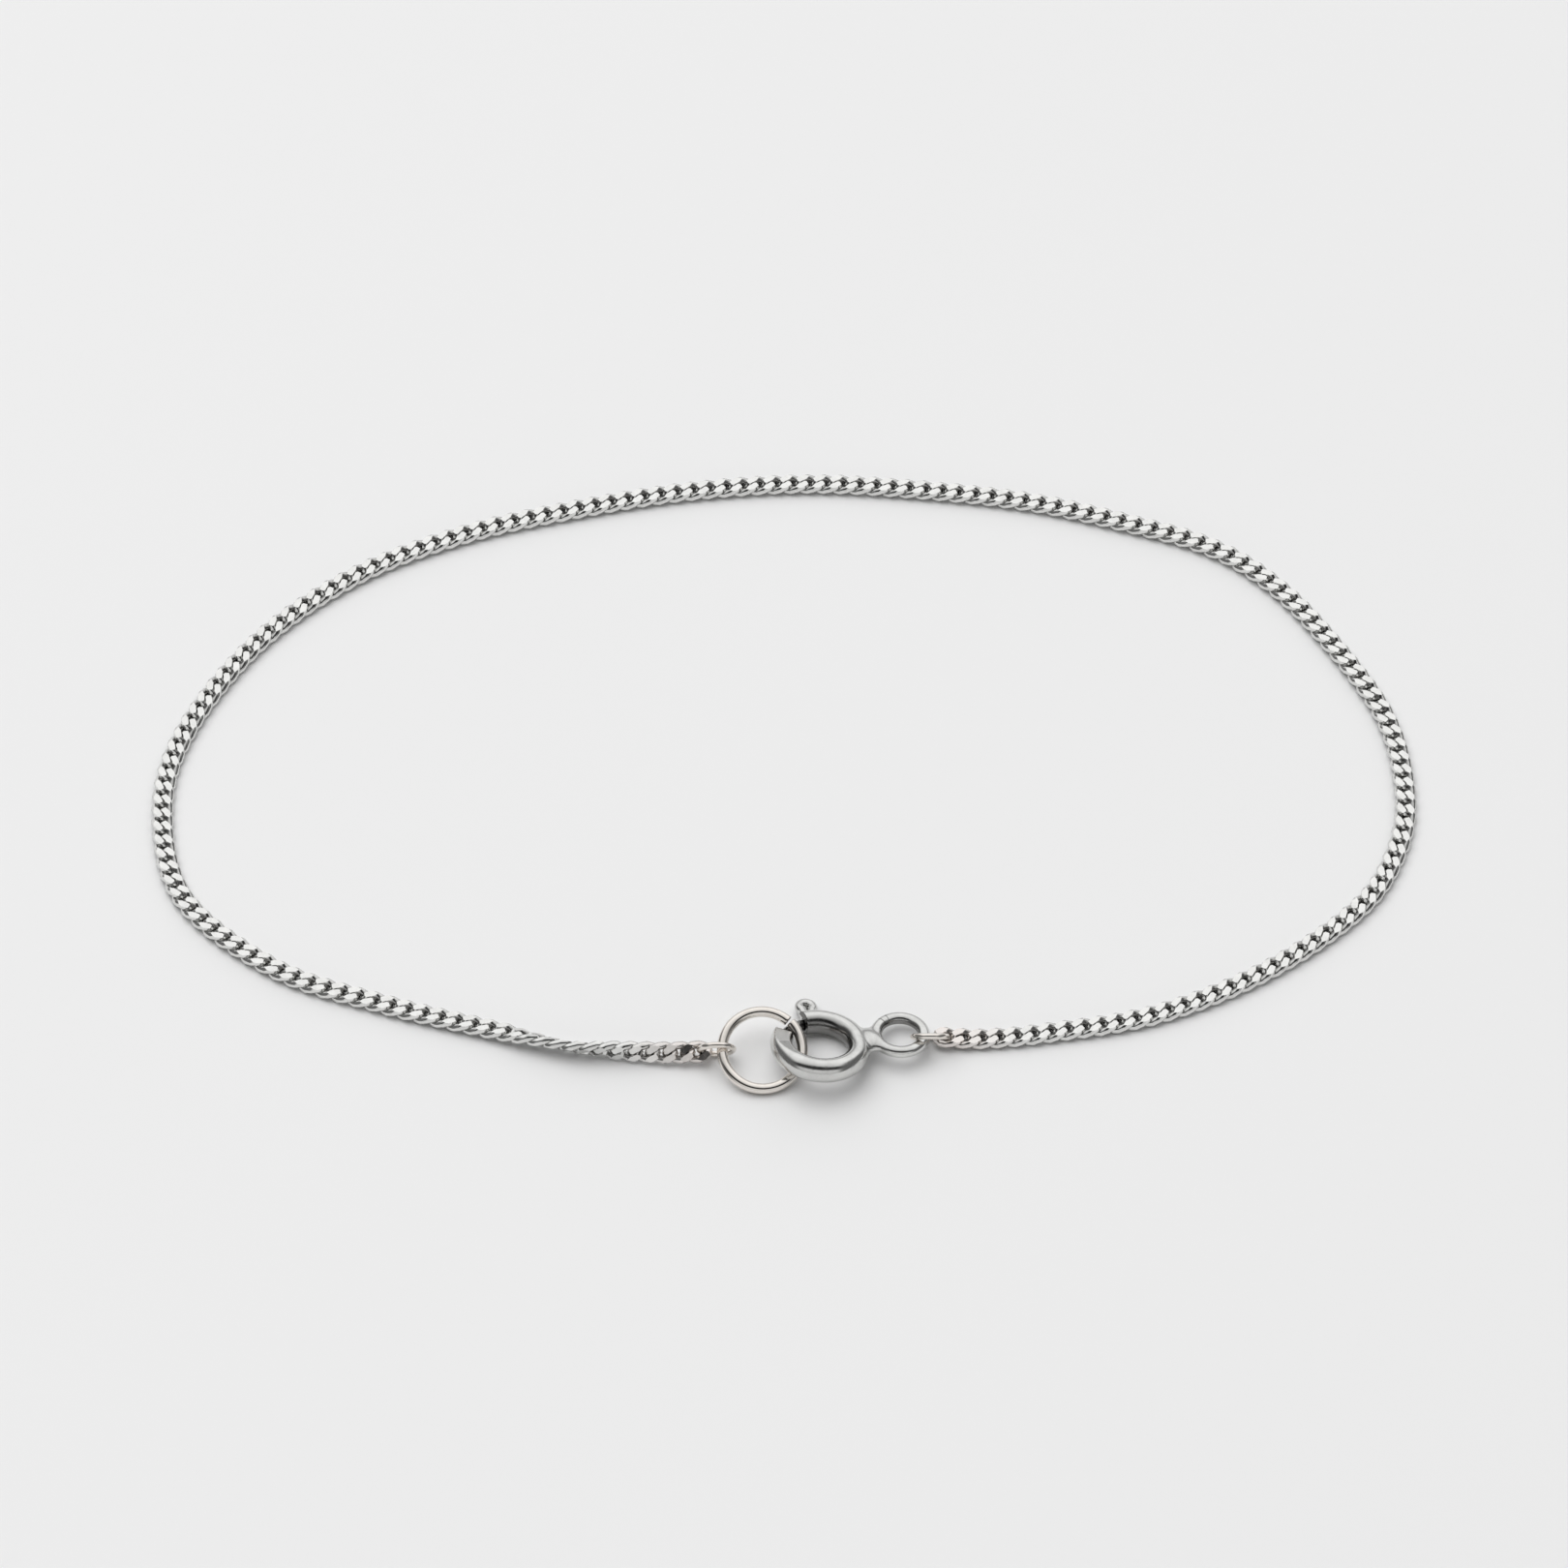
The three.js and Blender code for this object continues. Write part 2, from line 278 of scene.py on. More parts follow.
def addFlush(tree, place, colour):
    away = addNode(tree, "ShaderNodeVectorMath", {
        0: place, 1: [length * millimetre for length in flush["place"]],
    }, operation="DISTANCE")
    tint = addNode(tree, "ShaderNodeMapRange", {
        "Value": away.outputs["Value"],
        "From Min": flush["near"] * millimetre,
        "From Max": flush["far"] * millimetre,
        "To Min": flush["share"],
        "To Max": 0,
    })
    return addNode(tree, "ShaderNodeMix", {
        mixShare: tint.outputs["Result"], mixFrom: colour, mixTo: linear(flush["colour"]),
    }, data_type="RGBA").outputs[mixResult]


def addRelief(tree, place, worn, finish):
    # Fine scratches, and small knocks that rubbed metal shows more
    scratches = addNode(tree, "ShaderNodeTexNoise", {
        "Vector": place,
        "Scale": perMetre(finish["scratchSize"]),
        "Detail": wear["scratchDetail"],
    })
    fine = addNode(tree, "ShaderNodeBump", {
        "Height": scratches.outputs["Fac"],
        "Strength": wear["scratchStrength"],
        "Distance": finish["scratchDepth"] * millimetre,
    })
    knocks = addNode(tree, "ShaderNodeTexNoise", {
        "Vector": place,
        "Scale": perMetre(finish["pitSize"]),
        "Detail": wear["pitDetail"],
    })
    rim, bottom = wear["pitSpread"]
    hollows = addNode(tree, "ShaderNodeMapRange", {
        "Value": knocks.outputs["Fac"], "From Min": rim, "From Max": bottom,
        "To Min": 1, "To Max": 0,
    })
    polished, rubbed = wear["pitStrength"]
    force = addNode(tree, "ShaderNodeMapRange",
                    {"Value": worn, "To Min": polished, "To Max": rubbed})
    return addNode(tree, "ShaderNodeBump", {
        "Height": hollows.outputs["Result"],
        "Strength": force.outputs["Result"],
        "Distance": finish["pitDepth"] * millimetre,
        "Normal": fine.outputs["Normal"],
    }).outputs["Normal"]


def makeMetal(name):
    finish = finishes[name]
    material = bpy.data.materials.new(name)
    material.use_nodes = True
    tree = material.node_tree
    surface = tree.nodes["Principled BSDF"]
    surface.inputs["Metallic"].default_value = 1
    place = addNode(tree, "ShaderNodeTexCoord").outputs["Object"]
    painted_shade_and_seams = addNode(tree, "ShaderNodeAttribute", attribute_name="painted_shade_and_seams").outputs["Fac"]
    worn = addNode(tree, "ShaderNodeAttribute", attribute_name="worn").outputs["Fac"]
    patches = addNode(tree, "ShaderNodeTexNoise", {
        "Vector": place,
        "Scale": perMetre(finish["patchSize"]),
        "Detail": wear["patchDetail"],
        "Roughness": wear["patchRoughness"],
    }).outputs["Fac"]
    colour = addNode(tree, "ShaderNodeMix", {
        mixShare: patches, mixFrom: linear(finish["colour"]), mixTo: linear(finish["dull"]),
    }, data_type="RGBA").outputs[mixResult]
    if name == flush["finish"]:
        colour = addFlush(tree, place, colour)
    # Painted shade darkens hollows and inner walls, and the same dark mix draws the end ring's
    # seams
    shadeAndSeam = addNode(tree, "ShaderNodeMath", {0: painted_shade_and_seams, 1: finish["shadeAndSeamShare"]},
                    operation="MULTIPLY")
    colour = addNode(tree, "ShaderNodeMix", {
        mixShare: shadeAndSeam.outputs[0], mixFrom: colour, mixTo: linear(finish["shadeAndSeamColour"]),
    }, data_type="RGBA").outputs[mixResult]
    tree.links.new(colour, surface.inputs["Base Color"])
    start, end = wear["patchSpread"]
    best, worst = finish["roughness"]
    gloss = addNode(tree, "ShaderNodeMapRange", {
        "Value": patches, "From Min": start, "From Max": end, "To Min": best, "To Max": worst,
    })
    rubbed = addNode(tree, "ShaderNodeMath",
                     {0: worn, 1: wear["rubbed"], 2: gloss.outputs["Result"]},
                     operation="MULTIPLY_ADD")
    tree.links.new(rubbed.outputs[0], surface.inputs["Roughness"])
    tree.links.new(addRelief(tree, place, worn, finish), surface.inputs["Normal"])
    return material


metals = {name: makeMetal(name) for name in finishes}
print("metals made")


# Modelling helpers

def turned(x, y, z):
    # Turns about z first, then about x and y
    return (Matrix.Rotation(radians(y), 4, "Y")
            @ Matrix.Rotation(radians(x), 4, "X")
            @ Matrix.Rotation(radians(z), 4, "Z"))


def centreOf(node):
    low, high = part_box(node)
    return (Vector(low) + Vector(high)) / 2 / millimetre


def rising(value, low, high):
    # 0 up to low, 1 from high on
    return max(0.0, min(1.0, (value - low) / (high - low)))


def arc(radius, start, end, steps, height=0.0, rise=0.0):
    # Points round the z axis, which climb by rise on the way
    points = []
    for step in range(steps + 1):
        share = step / steps
        angle = radians(start + (end - start) * share)
        level = height + rise * (share - 0.5)
        points.append(Vector((radius * cos(angle), radius * sin(angle), level)))
    return points


def sweep(path, width, height, sides, closed):
    # Carries an oval section along a path that never points straight up.
    # An open sweep also gives the edges round its two caps.
    bm = bmesh.new()
    count = len(path)
    frames = []
    for i, point in enumerate(path):
        after = path[(i + 1) % count] if closed or i + 1 < count else point
        before = path[i - 1] if closed or i > 0 else point
        along = (after - before).normalized()
        side = along.cross(upward).normalized()
        turn = Matrix((side, along.cross(side), along)).transposed().to_4x4()
        frames.append(Matrix.Translation(point) @ turn)
    if closed:
        frames.append(frames[0])
    oval = Matrix.Diagonal((width / 2, height / 2, 1, 1))
    bmesh.ops.create_circle(bm, cap_ends=not closed, segments=sides, radius=1,
                            matrix=frames[0] @ oval)
    edges = bm.edges[:]
    caps = [edges]
    for before, after in zip(frames, frames[1:]):
        grown = bmesh.ops.extrude_edge_only(bm, edges=edges)["geom"]
        ring = [g for g in grown if isinstance(g, bmesh.types.BMVert)]
        bmesh.ops.transform(bm, matrix=after @ before.inverted(), verts=ring)
        there = set(ring)
        edges = [g for g in grown if isinstance(g, bmesh.types.BMEdge) and set(g.verts) <= there]
    if closed:
        bmesh.ops.remove_doubles(bm, verts=bm.verts, dist=weld)
        caps = []
    else:
        bmesh.ops.edgeloop_fill(bm, edges=edges)
        caps.append(edges)
    bmesh.ops.recalc_face_normals(bm, faces=bm.faces)
    return bm, caps


def roundRing(radius, width, height, steps, sides):
    return sweep(arc(radius, 0, 360, steps)[:-1], width, height, sides, True)[0]


def chamfer(bm, caps, size):
    bmesh.ops.bevel(bm, geom=[e for cap in caps for e in cap], offset=size, affect="EDGES",
                    segments=2, profile=0.5, material=-1)


def makeObject(name, bm):
    mesh = bpy.data.meshes.new(name)
    bm.to_mesh(mesh)
    bm.free()
    piece = bpy.data.objects.new(name, mesh)
    bpy.context.collection.objects.link(piece)
    return piece


def finishPiece(name, bm, place, metal, body, node, sharpAngle=None):
    bmesh.ops.transform(bm, matrix=Matrix.Scale(millimetre, 4) @ place, verts=bm.verts)
    piece = makeObject(name, bm)
    piece.data.shade_smooth()
    if sharpAngle:
        piece.data.set_sharp_from_angle(angle=radians(sharpAngle))
    piece.data.materials.append(metals[metal])
    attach(piece, body)
    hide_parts(node)
    print(name, "made:", len(piece.data.polygons), "faces")


# Chain: curb links, each an oval of wire twisted about the chain's line and ground flat

chain = {
    "width": 1.33,
    "length": 1.98,
    "wire": 0.485,
    "flats": 0.61,              # from the ground top to the ground bottom
    "twist": 50,                # from the middle of a link to its end
    "fullness": (0.95, 0.8),    # under 1 squares the oval, along and across
    "sides": 8,
    "steps": 14,
    "pitch": 0.9973,
    "seatWidth": 0.96,          # of the ground face that the chain rests on
    "seatHeight": 0.64,
    "edgeHeight": 0.26,
    "rightPitch": 10.7,         # how the end links lean towards their connector rings
    "leftPitch": -10.1,
    "wobble": 0.6,              # how far a link lies off its neighbours
    "wobbleSteps": (12.9898, 78.233),   # uneven, so that the links turn without a pattern
    "clearance": 0.012,         # above the surface, so that no turned link dips into it
    "shadeAndSeam": (-0.058, 0.327),   # where painted shade starts and is full: 0 on the wire, 1 in mid hole
    "samples": 60,              # of the centre line, between two points of the route
    # centre line: x, y, lift above its seat, roll about its own line.
    # It runs from the clasp round to the jump ring, and turns over just before it ends.
    "route": [
        (9.45, -19.17, 0.155, 0), (11.6, -19.13, 0.01, 0), (15.0, -18.72, 0, 0),
        (21.4, -17.37, 0, 0), (27.7, -14.27, 0, 0), (33.08, -9.87, 0, 0), (35.48, -5.9, 0, 0),
        (36.32, -1.3, 0, 0), (35.26, 4.94, 0, 0), (31.38, 11.88, 0, 0), (28.2, 15.7, 0, 0),
        (24.98, 17.95, 0, 0), (20.98, 19.45, 0, 0), (15.0, 21.18, 0, 0), (8.4, 22.18, 0, 0),
        (1.4, 22.66, 0, 0), (-5.6, 22.09, 0, 0), (-12.4, 20.68, 0, 0), (-19.1, 18.7, 0, 0),
        (-25.5, 15.49, 0, 0), (-31.1, 10.43, 0, 0), (-35.14, 3.65, 0, 0), (-36.31, -2.3, 0, 0),
        (-34.83, -8.93, 0, 0), (-29.37, -14.04, 0, 0), (-23.0, -16.64, 0.005, 0),
        (-16.5, -18.6, 0.03, -8), (-14.6, -19.26, 0.05, -36), (-12.0, -20.0, 0.05, -62),
        (-10.2, -20.18, 0.03, -88), (-8.5, -20.31, 0.03, -108), (-6.8, -20.38, 0.08, -127),
        (-5.03, -20.38, 0.187, -138),
    ],
}
linkHalf = (chain["width"] - chain["wire"]) / 2
linkReach = (chain["length"] - chain["wire"]) / 2


def chainSeat(roll):
    # Height of the chain's centre when it rests at this roll
    corners = [
        (chain["width"] / 2, chain["edgeHeight"] / 2),
        (chain["seatWidth"] / 2, chain["seatHeight"] / 2),
    ]
    turn = radians(roll)
    return max(abs(x * sin(turn)) + abs(y * cos(turn)) for x, y in corners)


def routePoint(along):
    # A smooth curve through the rows of the route, along being a row's number and a share
    rows = [Vector((x, y, chainSeat(roll) + lift)) for x, y, lift, roll in chain["route"]]
    start = min(floor(along), len(rows) - 2)
    t = along - start
    here, there = rows[start], rows[start + 1]
    before = rows[start - 1] if start > 0 else 2 * here - there
    beyond = rows[start + 2] if start + 2 < len(rows) else 2 * there - here
    leave = (there - before) / 2
    arrive = (beyond - here) / 2
    return (here * (2 * t ** 3 - 3 * t ** 2 + 1) + leave * (t ** 3 - 2 * t ** 2 + t)
            + there * (3 * t ** 2 - 2 * t ** 3) + arrive * (t ** 3 - t ** 2))


def linkPlaces():
    # Walks the centre line and sets down a link at every pitch
    rows = chain["route"]
    marks = [i / chain["samples"] for i in range((len(rows) - 1) * chain["samples"] + 1)]
    points = [routePoint(mark) for mark in marks]
    lengths = [0.0]
    for a, b in zip(points, points[1:]):
        lengths.append(lengths[-1] + (b - a).length)
    gaps = round(lengths[-1] / chain["pitch"])
    leans = {0: chain["rightPitch"], gaps: chain["leftPitch"]}
    places = []
    sample = 0
    for link in range(gaps + 1):
        goal = lengths[-1] * link / gaps
        while sample < len(points) - 2 and lengths[sample + 1] < goal:
            sample += 1
        share = (goal - lengths[sample]) / (lengths[sample + 1] - lengths[sample])
        mark = marks[sample] + share / chain["samples"]
        row = min(floor(mark), len(rows) - 2)
        roll = rows[row][3] + (rows[row + 1][3] - rows[row][3]) * (mark - row)
        if link in leans:
            along = turned(0, leans[link], 0).to_3x3() @ Vector((1, 0, 0))
            wobbles = (0, 0)
        else:
            along = (points[sample + 1] - points[sample]).normalized()
            wobbles = [chain["wobble"] * sin(link * step) for step in chain["wobbleSteps"]]
        across = upward.cross(along).normalized()
        turn = Matrix((along, across, along.cross(across))).transposed().to_4x4()
        middle = points[sample].lerp(points[sample + 1], share) + chain["clearance"] * upward
        places.append(Matrix.Translation(middle) @ turn
                      @ turned(roll + wobbles[0], wobbles[1], 0))
    return places


def makeLink():
    path = []
    for step in range(chain["steps"]):
        angle = 2 * pi * step / chain["steps"]
        along = linkReach * copysign(abs(cos(angle)) ** chain["fullness"][0], cos(angle))
        across = linkHalf * copysign(abs(sin(angle)) ** chain["fullness"][1], sin(angle))
        twist = radians(chain["twist"]) * along / linkReach
        path.append(Vector((along, across * cos(twist), -across * sin(twist))))
    bm = sweep(path, chain["wire"], chain["wire"], chain["sides"], True)[0]
    for side in (1, -1):
        cut = bmesh.ops.bisect_plane(
            bm, geom=bm.verts[:] + bm.edges[:] + bm.faces[:], dist=weld / 10,
            plane_co=(0, 0, side * chain["flats"] / 2), plane_no=(0, 0, side), clear_outer=True)
        rim = [g for g in cut["geom_cut"] if isinstance(g, bmesh.types.BMEdge)]
        for edge in rim:
            edge.smooth = False
        bmesh.ops.holes_fill(bm, edges=rim, sides=0)
    bmesh.ops.recalc_face_normals(bm, faces=bm.faces)
    mesh = bpy.data.meshes.new("curb_link")
    bm.to_mesh(mesh)
    bm.free()
    return mesh


def linkPaintedShade(spot):
    # Painted shade for a point of the link, by how far it lies in its hole, the ground flats
    # excepted
    if abs(spot.z) > chain["flats"] / 2 - weld:
        return 0.0
    twist = radians(chain["twist"]) * max(-1, min(1, spot.x / linkReach))
    across = spot.y * cos(twist) - spot.z * sin(twist)
    inside = 1 - Vector((spot.x / linkReach, across / linkHalf)).length
    return rising(inside, *chain["shadeAndSeam"])


def makeChain():
    link = makeLink()
    # Painted shade, deeper towards the middle of each link's hole
    paintedShades = [linkPaintedShade(vertex.co) for vertex in link.vertices]
    bm = bmesh.new()
    painted_shade_and_seams = bm.verts.layers.float.new("painted_shade_and_seams")
    places = linkPlaces()
    for place in places:
        before = len(bm.verts)
        bm.from_mesh(link)
        bm.verts.ensure_lookup_table()
        bmesh.ops.transform(bm, matrix=place, verts=bm.verts[before:])
        for vertex, shadeAndSeam in zip(bm.verts[before:], paintedShades):
            vertex[painted_shade_and_seams] = shadeAndSeam
    bpy.data.meshes.remove(link)
    print("chain:", len(places), "links")
    finishPiece("curb_chain", bm, Matrix(), "ground_silver", "bracelet", "chain")


makeChain()


# Round rings at the clasp

connector = {
    "radius": 0.97,             # to the middle of the wire, as in every ring here
    "wire": 0.36,
    "rightTurn": (180 - 54.5, 0, 0),
    "leftTurn": (180 - 67.9, -4.3, 0),
    "steps": 64,
    "sides": 20,
}


def makeConnector(name, node, turn):
    bm = roundRing(connector["radius"], connector["wire"], connector["wire"],
                   connector["steps"], connector["sides"])
    place = Matrix.Translation(centreOf(node)) @ turned(*turn)
    finishPiece(name, bm, place, "drawn_white_gold", "bracelet", node)


makeConnector("connector_ring_right", "connector_right", connector["rightTurn"])
makeConnector("connector_ring_left", "connector_left", connector["leftTurn"])

jump = {
    "radius": 2.3,
    "wire": 0.62,
    "turn": (21.7, 3.5, 0),
    "cutAngle": 49,             # round the ring, from its right side
    "cutWidth": 0.18,
    "cutRise": 0.12,            # how far one end of the wire stands above the other
    "cutPaintedShade": 0.9,            # painted shade on the wire's ends at the cut
    "chamfer": 0.025,
    "steps": 150,
    "sides": 32,
    "sharpAngle": 40,
}


def makeJumpRing():
    halfCut = degrees(jump["cutWidth"] / 2 / jump["radius"])
    path = arc(jump["radius"], jump["cutAngle"] + halfCut, jump["cutAngle"] - halfCut + 360,
               jump["steps"], rise=jump["cutRise"])
    bm, caps = sweep(path, jump["wire"], jump["wire"], jump["sides"], False)
    chamfer(bm, caps, jump["chamfer"])
    # Painted shade on the wire's ends at the cut
    painted_shade_and_seams = bm.verts.layers.float.new("painted_shade_and_seams")
    rawEnd = (jump["cutWidth"] + jump["chamfer"]) / 2
    for vertex in bm.verts:
        away = abs(degrees(atan2(vertex.co.y, vertex.co.x)) - jump["cutAngle"])
        if radians(away) * jump["radius"] < rawEnd:
            vertex[painted_shade_and_seams] = jump["cutPaintedShade"]
    place = Matrix.Translation(centreOf("jump_ring")) @ turned(*jump["turn"])
    finishPiece("open_jump_ring", bm, place, "drawn_white_gold", "bracelet", "jump_ring",
                sharpAngle=jump["sharpAngle"])


makeJumpRing()


# Clasp: the bent tube with its opening, bore, slot and flat, the neck, and the end ring

clasp = {
    "turn": (-14.5, 6, 12.8),
    "radius": 2.24,
    "tubeWidth": 1.26,
    "tubeHeight": 1.47,
    "tubeSteps": 128,
    "tubeSides": 40,
    "openStart": 102,           # angles round the ring are from the side of the neck
    "openEnd": 146,
    "bore": 0.76,
    "boreDrop": 0.1,            # of the bore's line below the tube's
    "boreStart": 12,
    "boreSteps": 40,
    "boreSides": 32,
    "socket": 9,                # how far the bore goes on past the opening
    "slotStart": 30,
    "slotHeight": 0.7,
    "facetHeight": 0.45,        # of the ground flat above the tube's middle, at the opening
    "facetSlope": 7.5,
    "facetLength": 2.4,
    "facetInward": 1.9,         # from the tube's line towards the ring's centre
    "endRadius": 1.385,
    "endWire": 0.7,
    "endSteps": 96,
    "endSides": 32,
    "endGap": 0.12,             # between the tube and the end ring, which the neck fills
    "endRise": 0.36,
    "endTurn": (5.4, -5.3, 0),
    "neckSize": (1.6, 1.9, 1.0),
    "neckSegments": (40, 24),
    "fillet": 0.22,             # radius of the hollow that the solder draws between the parts
    "filletVoxel": 0.05,
    "filletSmoothing": 4,
    "overrun": 4,               # how far a cut runs on into the opening
    "margin": 0.6,              # how far a cutter stands out past the tube
    "cutSteps": 16,
    "voxel": 0.036,
    "smoothing": 10,
    "sharpAngle": 60,
}
# Painted shade, and the dark seam lines, run 0 to 1. A pair of values says where the shade
# starts and is full: how squarely a face looks inwards, or how deep a wall lies, as a share of
# the tube's radius.
claspShadeAndSeams = {
    "flatMatch": 0.985,         # how nearly a face looks as the ground flat does
    "flatLow": 0.3,
    "endStart": 0.1,            # the end ring's side begins this far inside the tube's outline
    "endShare": 0.7,
    "endInward": (0.4, 0.9),
    "seams": (112, 128),        # round the end ring, where the solder that closes it ends
    "seamHalfWidth": 1.1,
    "seamShare": 0.8,
    "mouthShare": 0.95,         # painted shade on the cut faces of the opening
    "mouthMatch": 0.6,
    "mouthReach": 5,
    "wallShare": 0.75,
    "wallInward": (0.35, 0.85),
    "holeDepth": (0.12, 0.32),
}
tubeOuter = clasp["radius"] + clasp["tubeWidth"] / 2
endCentre = Vector((tubeOuter + clasp["endGap"] + clasp["endWire"] / 2 + clasp["endRadius"], 0,
                    clasp["endRise"]))
claspPlace = (Matrix.Translation(Vector(frame["joints"][0]["pos_m"]) / millimetre)
              @ turned(*clasp["turn"]))


def applyModifiers(piece):
    graph = bpy.context.evaluated_depsgraph_get()
    mesh = bpy.data.meshes.new_from_object(piece.evaluated_get(graph))
    piece.modifiers.clear()
    old = piece.data
    piece.data = mesh
    bpy.data.meshes.remove(old)


def removePiece(piece):
    mesh = piece.data
    bpy.data.objects.remove(piece)
    bpy.data.meshes.remove(mesh)


def takeBack(piece):
    # Gives the work piece's mesh for marking, and clears the piece away
    bm = bmesh.new()
    bm.from_mesh(piece.data)
    removePiece(piece)
    return bm


def combine(piece, bm, operation):
    other = makeObject("cutter", bm)
    change = piece.modifiers.new("combine", "BOOLEAN")
    change.operation = operation
    change.solver = "MANIFOLD"
    change.object = other
    applyModifiers(piece)
    removePiece(other)


def addSwell(piece, push):
    swell = piece.modifiers.new("swell", "DISPLACE")
    swell.strength = push
    swell.mid_level = 0


def addSkin(piece, voxel):
    skin = piece.modifiers.new("skin", "REMESH")
    skin.mode = "VOXEL"
    skin.voxel_size = voxel


def addRub(piece, rounds):
    rub = piece.modifiers.new("rub", "SMOOTH")
    rub.iterations = rounds


def drawOutSolder(piece):
    # Grown by the fillet and shrunk again, which leaves a hollow curve in the corners alone
    addSwell(piece, clasp["fillet"])
    addSkin(piece, clasp["filletVoxel"])
    addRub(piece, clasp["filletSmoothing"])
    addSwell(piece, -clasp["fillet"])
    applyModifiers(piece)
    addSkin(piece, clasp["filletVoxel"])
    applyModifiers(piece)


def ringBlock(inner, outer, start, end, height, level):
    # A block bent round the ring's axis
    bm = bmesh.new()
    bmesh.ops.create_grid(bm, x_segments=1, y_segments=1, size=0.5)
    stand = (Matrix.Rotation(radians(start), 4, "Z")
             @ Matrix.Translation(((inner + outer) / 2, 0, level))
             @ Matrix.Rotation(pi / 2, 4, "X")
             @ Matrix.Diagonal((outer - inner, height, 1, 1)))
    bmesh.ops.transform(bm, matrix=stand, verts=bm.verts)
    bmesh.ops.spin(bm, geom=bm.verts[:] + bm.edges[:] + bm.faces[:], cent=(0, 0, 0),
                   axis=(0, 0, 1), angle=radians(end - start), steps=clasp["cutSteps"])
    bmesh.ops.recalc_face_normals(bm, faces=bm.faces)
    return bm


def boreAlong(start, end):
    path = arc(clasp["radius"], start, end, clasp["boreSteps"], height=-clasp["boreDrop"])
    return sweep(path, clasp["bore"], clasp["bore"], clasp["boreSides"], False)[0]


def facetBlock():
    bm = bmesh.new()
    outward = clasp["tubeWidth"] / 2 + clasp["margin"]
    inward = clasp["facetInward"]
    size = (outward + inward, clasp["facetLength"] + clasp["margin"], clasp["tubeHeight"])
    middle = ((outward - inward) / 2, (clasp["facetLength"] - clasp["margin"]) / 2, size[2] / 2)
    place = (Matrix.Rotation(radians(clasp["openEnd"]), 4, "Z")
             @ Matrix.Translation((clasp["radius"], 0, clasp["facetHeight"]))
             @ Matrix.Rotation(radians(clasp["facetSlope"]), 4, "X")
             @ Matrix.Translation(middle) @ Matrix.Diagonal((*size, 1)))
    bmesh.ops.create_cube(bm, size=1, matrix=place)
    return bm


def endShadeAndSeams(spot, normal):
    # Painted shade down the inside of the end ring, and dark lines in its two seams
    around = degrees(atan2(spot.y - endCentre.y, spot.x - endCentre.x))
    if min(abs(around - seam) for seam in claspShadeAndSeams["seams"]) < claspShadeAndSeams["seamHalfWidth"]:
        return claspShadeAndSeams["seamShare"]
    inward = (endCentre - spot).normalized().dot(normal)
    return claspShadeAndSeams["endShare"] * rising(inward, *claspShadeAndSeams["endInward"])


def tubePaintedShade(spot, normal, bearing):
    # Painted shade on the opening's cut faces, down the inside of the ring, and in its bore and
    # slot
    along = Vector((-spot.y, spot.x, 0)).normalized().dot(normal)
    low = clasp["openStart"] - claspShadeAndSeams["mouthReach"]
    high = clasp["openEnd"] + claspShadeAndSeams["mouthReach"]
    if abs(along) > claspShadeAndSeams["mouthMatch"] and low < bearing < high:
        return claspShadeAndSeams["mouthShare"]
    out = Vector((spot.x, spot.y, 0))
    side = (out.length - clasp["radius"]) / (clasp["tubeWidth"] / 2)
    depth = 1 - Vector((side, spot.z / (clasp["tubeHeight"] / 2))).length
    inward = -out.normalized().dot(normal)
    wall = claspShadeAndSeams["wallShare"] * rising(inward, *claspShadeAndSeams["wallInward"])
    return max(wall, rising(depth, *claspShadeAndSeams["holeDepth"]))


def markClaspRing(bm):
    # The ground flat is rubbed dull, and the rest gets painted shade where it lies deep, with
    # dark lines in the end ring's seams
    painted_shade_and_seams = bm.verts.layers.float.new("painted_shade_and_seams")
    worn = bm.verts.layers.float.new("worn")
    bm.normal_update()
    slope = radians(clasp["facetSlope"])
    angle = radians(clasp["openEnd"])
    facet = Vector((sin(slope) * sin(angle), -sin(slope) * cos(angle), cos(slope)))
    for vertex in bm.verts:
        spot = vertex.co
        bearing = degrees(atan2(spot.y, spot.x))
        flat = vertex.normal.dot(facet) > claspShadeAndSeams["flatMatch"]
        if flat and bearing > clasp["openEnd"] and spot.z > claspShadeAndSeams["flatLow"]:
            vertex[worn] = 1.0
        elif spot.x > tubeOuter - claspShadeAndSeams["endStart"]:
            vertex[painted_shade_and_seams] = endShadeAndSeams(spot, vertex.normal)
        else:
            vertex[painted_shade_and_seams] = tubePaintedShade(spot, vertex.normal, bearing)


